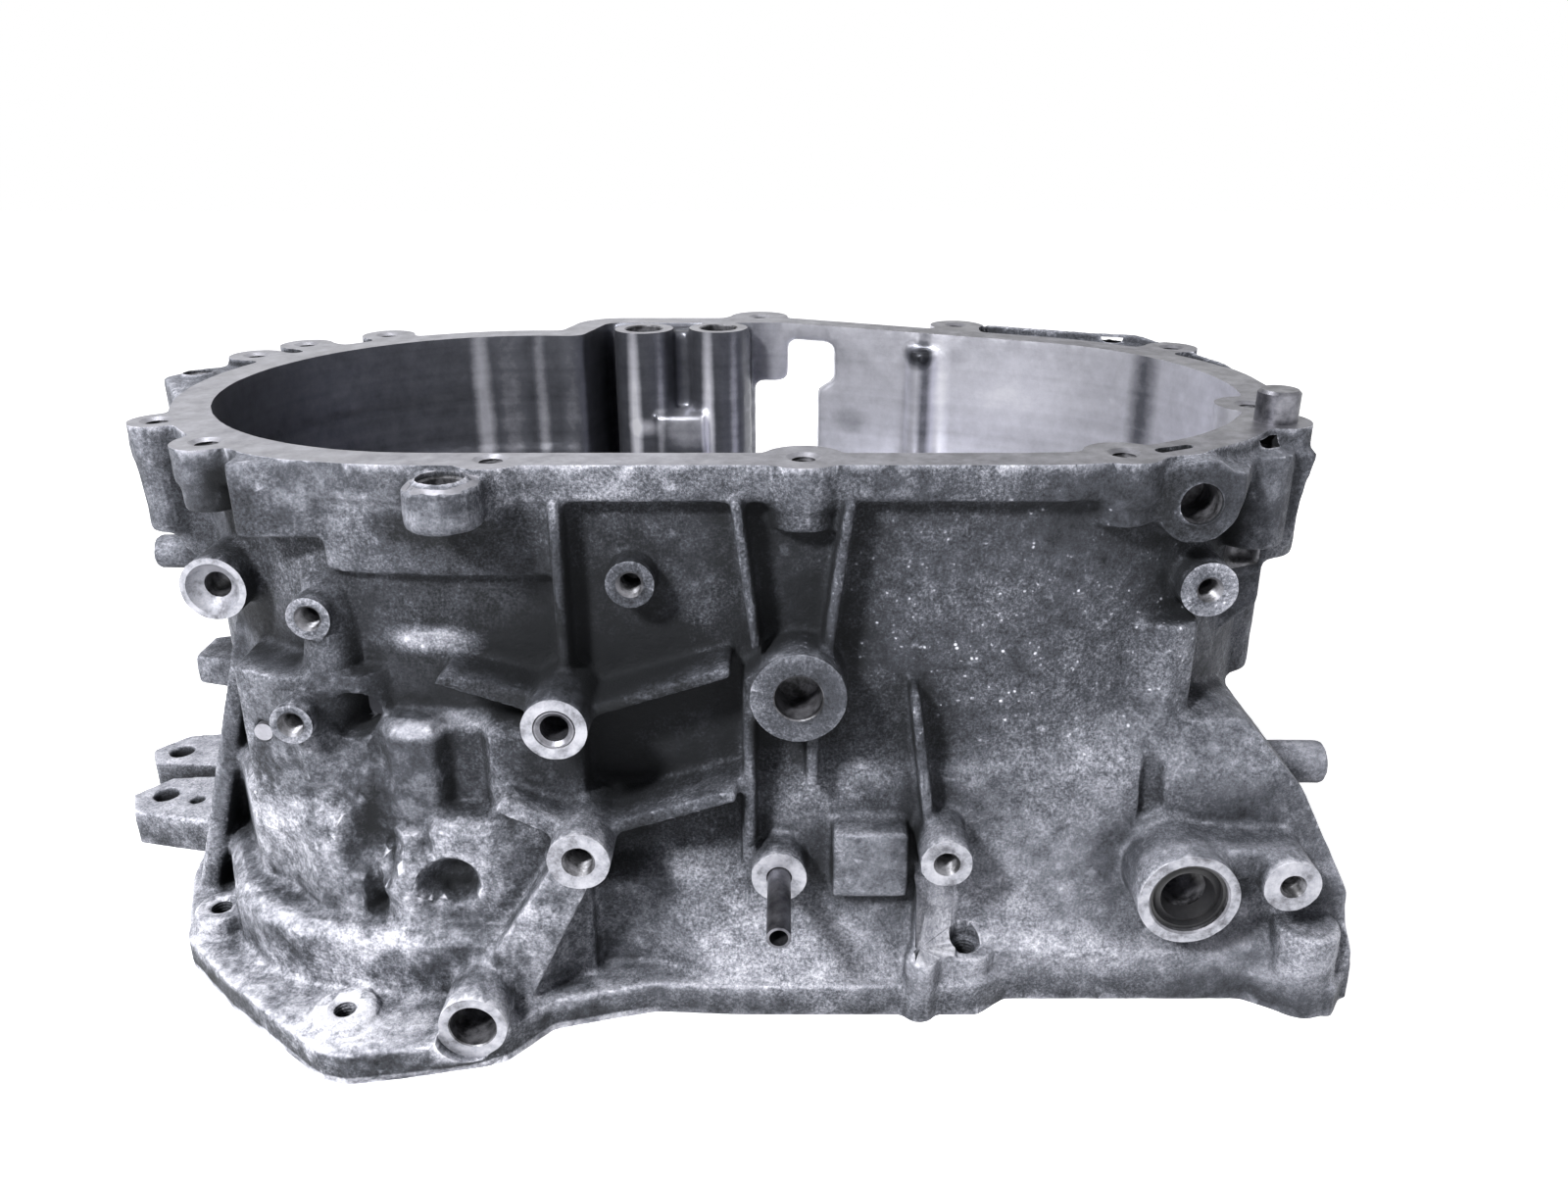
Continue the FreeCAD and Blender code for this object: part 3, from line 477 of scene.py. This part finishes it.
# Painted shadows and light on the walls, painted shade in the pockets, and darker and paler areas: centre,
# half sizes, the part with the full amount, amount
wall_tone_and_painted_light = [
    ((0.075, -0.110, 0.160), (0.090, 0.200, 0.070), 0.92, -0.13),
    ((-0.005, -0.110, 0.105), (0.034, 0.035, 0.034), 0.55, -0.16),
    ((0.000, -0.115, 0.066), (0.034, 0.035, 0.018), 0.55, -0.16),
    ((-0.045, -0.100, 0.140), (0.055, 0.060, 0.050), 0.60, -0.16),
    ((0.168, -0.130, 0.050), (0.050, 0.040, 0.040), 0.40, 0.04),
    ((-0.0735, -0.108, 0.1307), (0.0200, 0.030, 0.0056), 0.40, 0.52),
    ((-0.0720, -0.115, 0.1035), (0.0320, 0.030, 0.0042), 0.40, 0.42),
    ((-0.0600, -0.100, 0.1780), (0.0700, 0.060, 0.0050), 0.60, 0.10),
    ((0.0200, -0.100, 0.1830), (0.0600, 0.060, 0.0070), 0.60, 0.08),
    ((-0.0985, -0.1130, 0.0680), (0.0130, 0.015, 0.0190), 0.10, -0.50),
    ((-0.0715, -0.1180, 0.0520), (0.0110, 0.015, 0.0110), 0.10, -0.46),
    ((-0.1340, -0.1100, 0.0840), (0.0060, 0.015, 0.0130), 0.20, -0.24),
    ((-0.1270, -0.1200, 0.0275), (0.0180, 0.020, 0.0065), 0.60, -0.20),
    ((-0.0870, -0.1300, 0.0235), (0.0120, 0.020, 0.0055), 0.50, -0.16),
    ((-0.0500, -0.1100, 0.1180), (0.0700, 0.050, 0.0420), 0.60, -0.13),
    ((0.0000, -0.1150, 0.0900), (0.0360, 0.030, 0.0500), 0.60, -0.11),
    ((-0.0180, -0.1200, 0.0360), (0.0300, 0.040, 0.0180), 0.50, -0.17),
    ((-0.0640, -0.1080, 0.1690), (0.0280, 0.050, 0.0110), 0.50, -0.21),
    ((-0.1305, -0.0900, 0.1730), (0.0200, 0.050, 0.0120), 0.60, -0.24),
    ((0.0400, -0.1200, 0.0380), (0.0500, 0.050, 0.0220), 0.50, -0.08),
    ((-0.0945, -0.1420, 0.0140), (0.0300, 0.020, 0.0070), 0.50, 0.14),
    ((-0.1350, -0.1250, 0.0120), (0.0350, 0.030, 0.0080), 0.50, 0.09),
]
for place, boss, *rest in dull_faces:
    wall_tone_and_painted_light.append((place, (boss + 0.002, 0.0022, boss + 0.002), 0.85, -0.17))

skin, tree, shader, mark = metal("cast_skin", 0.10)
place = node(tree, "ShaderNodeTexCoord").outputs["Object"]
height = node(tree, "ShaderNodeSeparateXYZ", {0: place}).outputs["Z"]
# Worn ridges are paler and carry a painted highlight, and the creases are darker with painted shade.
wear_and_edge_shade_mask = node(tree, "ShaderNodeAttribute", attribute_name="wear_and_edge_shade").outputs["Fac"]
# Painted light: the faces that look up are made paler.
ledge = node(tree, "ShaderNodeAttribute", attribute_name="ledge").outputs["Fac"]
# Painted shade: the skin darkens where nearby faces close over it, in recesses and pockets.
painted_recess_shade = node(tree, "ShaderNodeAmbientOcclusion", {"Distance": 0.022}, samples=4).outputs["AO"]
left_foot = patch(tree, place, (-0.120, -0.140, 0.030), (0.110, 0.080, 0.085))
painted_top_light = mapped(tree, ledge, 0.25, 0.75, 0.0, 1.0)
stained = math_node(tree, "MULTIPLY_ADD", left_foot, 0.6, 0.45)
mottled = math_node(tree, "MULTIPLY_ADD", left_foot, 0.8, 0.75)
gritty = mapped(tree, mark["Stain"], 0.38, 0.62, 0.55, 1.5)
wear_and_edge_shade_amount = math_node(tree, "MULTIPLY_ADD", left_foot, 1.2, 2.0)
value = mapped(tree, height, 0.015, 0.115, 0.57, 0.385, "SMOOTHSTEP")
for part, middle, amount in [
    (mark["Stain"], 0.5, stained),
    (mark["Mottle"], 0.5, mottled),
    (mark["Speck"], 0.5, gritty),
    (wear_and_edge_shade_mask, 0.054, wear_and_edge_shade_amount),
    (painted_top_light, 0.0, 0.10),
    (painted_recess_shade, 0.93, 0.85),
    (left_foot, 0.0, 0.08),
]:
    value = weighed(tree, value, part, middle, amount)
value = patched(tree, value, place, wall_tone_and_painted_light)
# The rim of the left foot is pale at the very bottom and dark above
rim = mapped(tree, height, 0.0022, 0.0030, 0.30, -0.12)
foot_edge = patch(tree, place, (-0.110, -0.150, 0.0), (0.110, 0.075, 0.0105), 0.90)
rim = math_node(tree, "MULTIPLY", rim, foot_edge)
value = math_node(tree, "MULTIPLY_ADD", rim, math_node(tree, "SUBTRACT", 1.0, painted_top_light), value)
right_wall = patch(tree, place, (0.115, -0.110, 0.135), (0.08, 0.06, 0.05))
salted = math_node(tree, "MULTIPLY", mark["Salt"], right_wall)
value = math_node(tree, "MULTIPLY_ADD", salted, 0.85, value, clamp=True)
coloured(tree, shader, value, [
    (0.0, (0.010, 0.011, 0.013)),
    (0.30, (0.066, 0.070, 0.084)),
    (0.50, (0.190, 0.198, 0.228)),
    (0.70, (0.420, 0.425, 0.480)),
    (0.95, (0.80, 0.80, 0.86)),
])
tree.links.new(mapped(tree, value, 0.1, 0.9, 0.70, 0.50), shader.inputs["Roughness"])
shader.inputs["Specular IOR Level"].default_value = 0.20
roughened(tree, shader, math_node(tree, "MULTIPLY_ADD", mark["Speck"], 0.7, mark["Mottle"]), 0.75, 0.0012)


# The machined faces: the cover flange is fly-cut bright and darker towards the right, the boss faces
# are spot-faced, and the bores are drilled and painted dark for the shade that falls inside them.
milled, tree, shader, mark = metal("milled_face", 0.75)
place = node(tree, "ShaderNodeTexCoord").outputs["Object"]
across = node(tree, "ShaderNodeSeparateXYZ", {0: place}).outputs["X"]
# The flange is darker towards the right.
value = math_node(tree, "SUBTRACT", mark["Mottle"], mapped(tree, across, 0.0, 0.10, 0.0, 0.26))
coloured(tree, shader, value, [
    (0.15, (0.12, 0.12, 0.135)),
    (0.35, (0.21, 0.21, 0.235)),
    (0.50, (0.28, 0.28, 0.31)),
    (0.66, (0.36, 0.36, 0.40)),
])
tree.links.new(mapped(tree, mark["Stain"], 0.3, 0.7, 0.34, 0.52), shader.inputs["Roughness"])
roughened(tree, shader, mark["Grain"], 0.25, 0.0002)

spot, tree, shader, mark = metal("spot_face", 0.55)
coloured(tree, shader, mark["Mottle"], [
    (0.36, (0.10, 0.10, 0.115)),
    (0.50, (0.30, 0.305, 0.34)),
    (0.62, (0.42, 0.42, 0.46)),
])
shader.inputs["Roughness"].default_value = 0.5
roughened(tree, shader, mark["Grain"], 0.3, 0.0003)

# Painted shade: the bores are coloured dark for the shade that falls inside them.
bored, tree, shader, mark = metal("bore", 0.6)
coloured(tree, shader, mark["Mottle"], [(0.40, (0.02, 0.02, 0.022)), (0.62, (0.20, 0.20, 0.22))])
shader.inputs["Roughness"].default_value = 0.42


# The chamber's wall: turned smooth round the two shafts, so it is banded by height. It is painted paler
# at the right, and painted reflections and painted shade make bright and dark streaks where the wall bends.
# Painted reflections, highlights and shade on it: centre, half sizes, the part with the full amount, amount
chamber_painted_light = [
    ((-0.100, 0.092, 0.150), (0.0050, 0.030, 0.080), 0.30, 0.40),
    ((-0.088, 0.094, 0.150), (0.0080, 0.030, 0.080), 0.30, 0.16),
    ((-0.074, 0.110, 0.150), (0.0040, 0.030, 0.080), 0.30, 0.35),
    ((-0.060, 0.115, 0.150), (0.0070, 0.030, 0.080), 0.30, 0.24),
    ((-0.100, 0.090, 0.128), (0.0400, 0.050, 0.0040), 0.30, 0.35),
    ((-0.0320, 0.100, 0.150), (0.0036, 0.020, 0.060), 0.30, 0.60),
    ((0.0020, 0.102, 0.150), (0.0034, 0.020, 0.060), 0.30, 0.60),
    ((-0.0200, 0.100, 0.150), (0.0024, 0.020, 0.060), 0.30, 0.22),
    ((0.0140, 0.102, 0.150), (0.0024, 0.020, 0.060), 0.30, 0.22),
    ((-0.0276, 0.100, 0.146), (0.0080, 0.030, 0.0050), 0.20, 0.45),
    ((-0.0075, 0.100, 0.146), (0.0130, 0.030, 0.0110), 0.50, 0.28),
    ((0.0500, 0.070, 0.176), (0.0350, 0.060, 0.0110), 0.30, -0.30),
    ((0.0680, 0.075, 0.146), (0.0140, 0.050, 0.0100), 0.20, -0.38),
    ((0.1020, 0.095, 0.150), (0.0035, 0.030, 0.080), 0.30, -0.28),
    ((0.1090, 0.095, 0.150), (0.0050, 0.030, 0.080), 0.30, 0.20),
    ((0.1400, 0.090, 0.165), (0.0350, 0.040, 0.0200), 0.20, 0.16),
    ((0.1880, 0.045, 0.170), (0.0050, 0.015, 0.080), 0.20, -0.34),
    ((0.0980, 0.095, 0.1810), (0.0090, 0.012, 0.0070), 0.40, -0.60),
]
chamber, tree, shader, mark = metal("chamber_wall", 0.70)
place = node(tree, "ShaderNodeTexCoord").outputs["Object"]
level = node(tree, "ShaderNodeSeparateXYZ", {0: place}).outputs
height_only = node(tree, "ShaderNodeCombineXYZ", {"Z": level["Z"]}).outputs[0]
banding = {"Vector": height_only, "Scale": 120.0, "Detail": 4.0}
bands = node(tree, "ShaderNodeTexNoise", banding).outputs["Fac"]
value = math_node(tree, "MULTIPLY_ADD", bands, 0.30, math_node(tree, "MULTIPLY", mark["Mottle"], 0.30))
# Painted light and reflection: the wall is paler towards the right.
painted_light_right = mapped(tree, level["X"], 0.010, 0.045, 0.0, 0.43, "SMOOTHSTEP")
value = math_node(tree, "ADD", value, painted_light_right)
value = patched(tree, value, place, chamber_painted_light)
value = math_node(tree, "ADD", value, 0.0, clamp=True)
coloured(tree, shader, value, [
    (0.10, (0.018, 0.019, 0.024)),
    (0.40, (0.12, 0.124, 0.145)),
    (0.85, (0.68, 0.68, 0.75)),
    (1.0, (0.90, 0.90, 0.95)),
])
shader.inputs["Roughness"].default_value = 0.36
roughened(tree, shader, mark["Grain"], 0.2, 0.0004)


# Each face of the casting takes the finish of the tool that made it, by its place: the die, the
# mill, the boring bar in the chamber, the spot facer or the drill.
casting.data.materials.clear()
for made in (skin, milled, chamber, spot, bored):
    casting.data.materials.append(made)
as_cast, as_milled, as_turned, as_faced, as_drilled = range(5)

left_axis = (-0.0725, -0.00325)
left_radius = 0.1010
right_axis = (0.1105, -0.00675)
right_radius = 0.0958
middle_line = -0.005
chamber_floor = 0.0895


def in_chamber(centre, normal):
    left = math.hypot(centre.x - left_axis[0], centre.y - left_axis[1]) < left_radius
    right = math.hypot(centre.x - right_axis[0], centre.y - right_axis[1]) < right_radius
    bay = left_axis[0] < centre.x < right_axis[0] and -0.1020 < centre.y < 0.1310
    corner = right_axis[0] <= centre.x < 0.1370 and 0.0 < centre.y < 0.0995
    nearest_axis = min(max(centre.x, left_axis[0]), right_axis[0])
    inwards = (nearest_axis - centre.x) * normal.x - (centre.y - middle_line) * normal.y
    floor = normal.z > 0.7 and centre.z < 0.180
    enclosed = left or right or bay or corner
    return chamber_floor < centre.z < cover_top and enclosed and (inwards > 0.0 or floor)


dull_places = [place for place, *rest in dull_faces]
on_plane = 2e-5
reaches = {seal_bore: 0.040, port_bore: 0.030}
for face in casting.data.polygons:
    centre, normal = face.center, face.normal
    if abs(centre.z - cover_top) < on_plane and normal.z > 0.99:
        face.material_index = as_milled
    elif in_chamber(centre, normal):
        face.material_index = as_turned
    for (x, y, z), boss, bore, depth, pitch in faced:
        away = math.hypot(centre.x - x, centre.z - z)
        reach = reaches.get(bore, depth + 0.5 * bore) + 0.0004
        if away < boss + 0.0012 and abs(centre.y - y) < on_plane:
            face.material_index = as_cast if (x, y, z) in dull_places else as_faced
        elif away < bore + 0.0010 and y < centre.y < y + reach:
            if bore == port_bore and centre.y < y + 0.0043:
                face.material_index = as_faced
            elif bore == seal_bore and centre.y < y + 0.0030:
                face.material_index = as_milled
            else:
                face.material_index = as_drilled
    away = math.hypot(centre.x - lug_hole.x, centre.z - lug_hole.z)
    if away < lug_bore + 0.0005 and 0.0002 < centre.y - lug_hole.y < lug_depth + 0.0005:
        face.material_index = as_drilled
    for x, y in cover_holes:
        if math.hypot(centre.x - x, centre.y - y) < 0.0056 and 0.1705 < centre.z < cover_top - on_plane:
            face.material_index = as_drilled if centre.z < cover_top - 0.0012 else as_milled
    on_ear = math.hypot(centre.x - ear_hole[0], centre.y - ear_hole[1]) < 0.0112
    if on_ear and normal.z > 0.9 and centre.z > 0.1870:
        face.material_index = as_milled
    for x, y, top, radius, depth in plain_holes:
        in_bore = math.hypot(centre.x - x, centre.y - y) < radius + 0.0007
        if in_bore and top - depth - 0.01 < centre.z < top - 2e-4:
            face.material_index = as_drilled

pick(casting)
# The edge mask: pale on ridges for wear and a painted highlight, dark in creases for painted shade.
bpy.ops.geometry.color_attribute_add(name="wear_and_edge_shade", domain="POINT", data_type="FLOAT_COLOR", color=pure_white)
bpy.ops.object.mode_set(mode="VERTEX_PAINT")
bpy.ops.paint.vertex_color_dirt(
    blur_strength=1.0, blur_iterations=2, clean_angle=math.pi, dirt_angle=0.0, normalize=False)
bpy.ops.object.mode_set(mode="OBJECT")
# Painted light: how far each face looks up, so that those faces can be made paler.
upward = casting.data.attributes.new("ledge", "FLOAT", "POINT")
upward.data.foreach_set("value", [normal.vector.z for normal in casting.data.vertex_normals])
bpy.ops.object.shade_smooth_by_angle(angle=math.radians(38.0))
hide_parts("gearbox_case")
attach(casting, "root")


# The dowel in the flange and the breather tube low in the wall are ground steel, pressed in. The
# core plug at the left is a small bright plug of aluminium, pressed into the wall.
def dress(node_name, made):
    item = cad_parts[node_name]
    item.data.materials.clear()
    item.data.materials.append(made)


steel, tree, shader, mark = metal("dowel_steel", 0.9)
coloured(tree, shader, mark["Mottle"], [(0.35, (0.05, 0.05, 0.06)), (0.65, (0.22, 0.22, 0.245))])
shader.inputs["Roughness"].default_value = 0.4
dress("flange_dowel", steel)
dress("breather_tube", steel)
dress("core_plug", milled)


# The shaft seal: a ring of black moulded rubber with a lip, pressed into the bore of the round
# boss at the lower right.
rubber, tree, shader, mark = metal("seal_rubber", 0.0)
coloured(tree, shader, mark["Mottle"], [(0.35, (0.004, 0.004, 0.005)), (0.65, (0.016, 0.016, 0.018))])
shader.inputs["Roughness"].default_value = 0.45
dress("shaft_seal", rubber)


# The thread insert: a coil of steel wire wound into the repaired tap, so that its bore is all
# thread.
coil = merged_copy("wire_insert", "thread_insert")
coil.data.materials.append(steel)
coil_bore = 0.0044
coil_mouth = 0.0056
coil_profile = tap_profile(coil_bore, 0.017, coarse_pitch, coil_mouth) + [(coil_mouth, 0.002)]
winding = moved(turned("winding", coil_profile, 32), Matrix.Translation(Vector(insert_place)) @ towards_front)
work(coil, "BOOLEAN", object=winding, operation="DIFFERENCE", solver="MANIFOLD")
bpy.data.objects.remove(winding)
bpy.ops.object.shade_smooth_by_angle(angle=math.radians(30.0))
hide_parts("thread_insert")
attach(coil, "root")
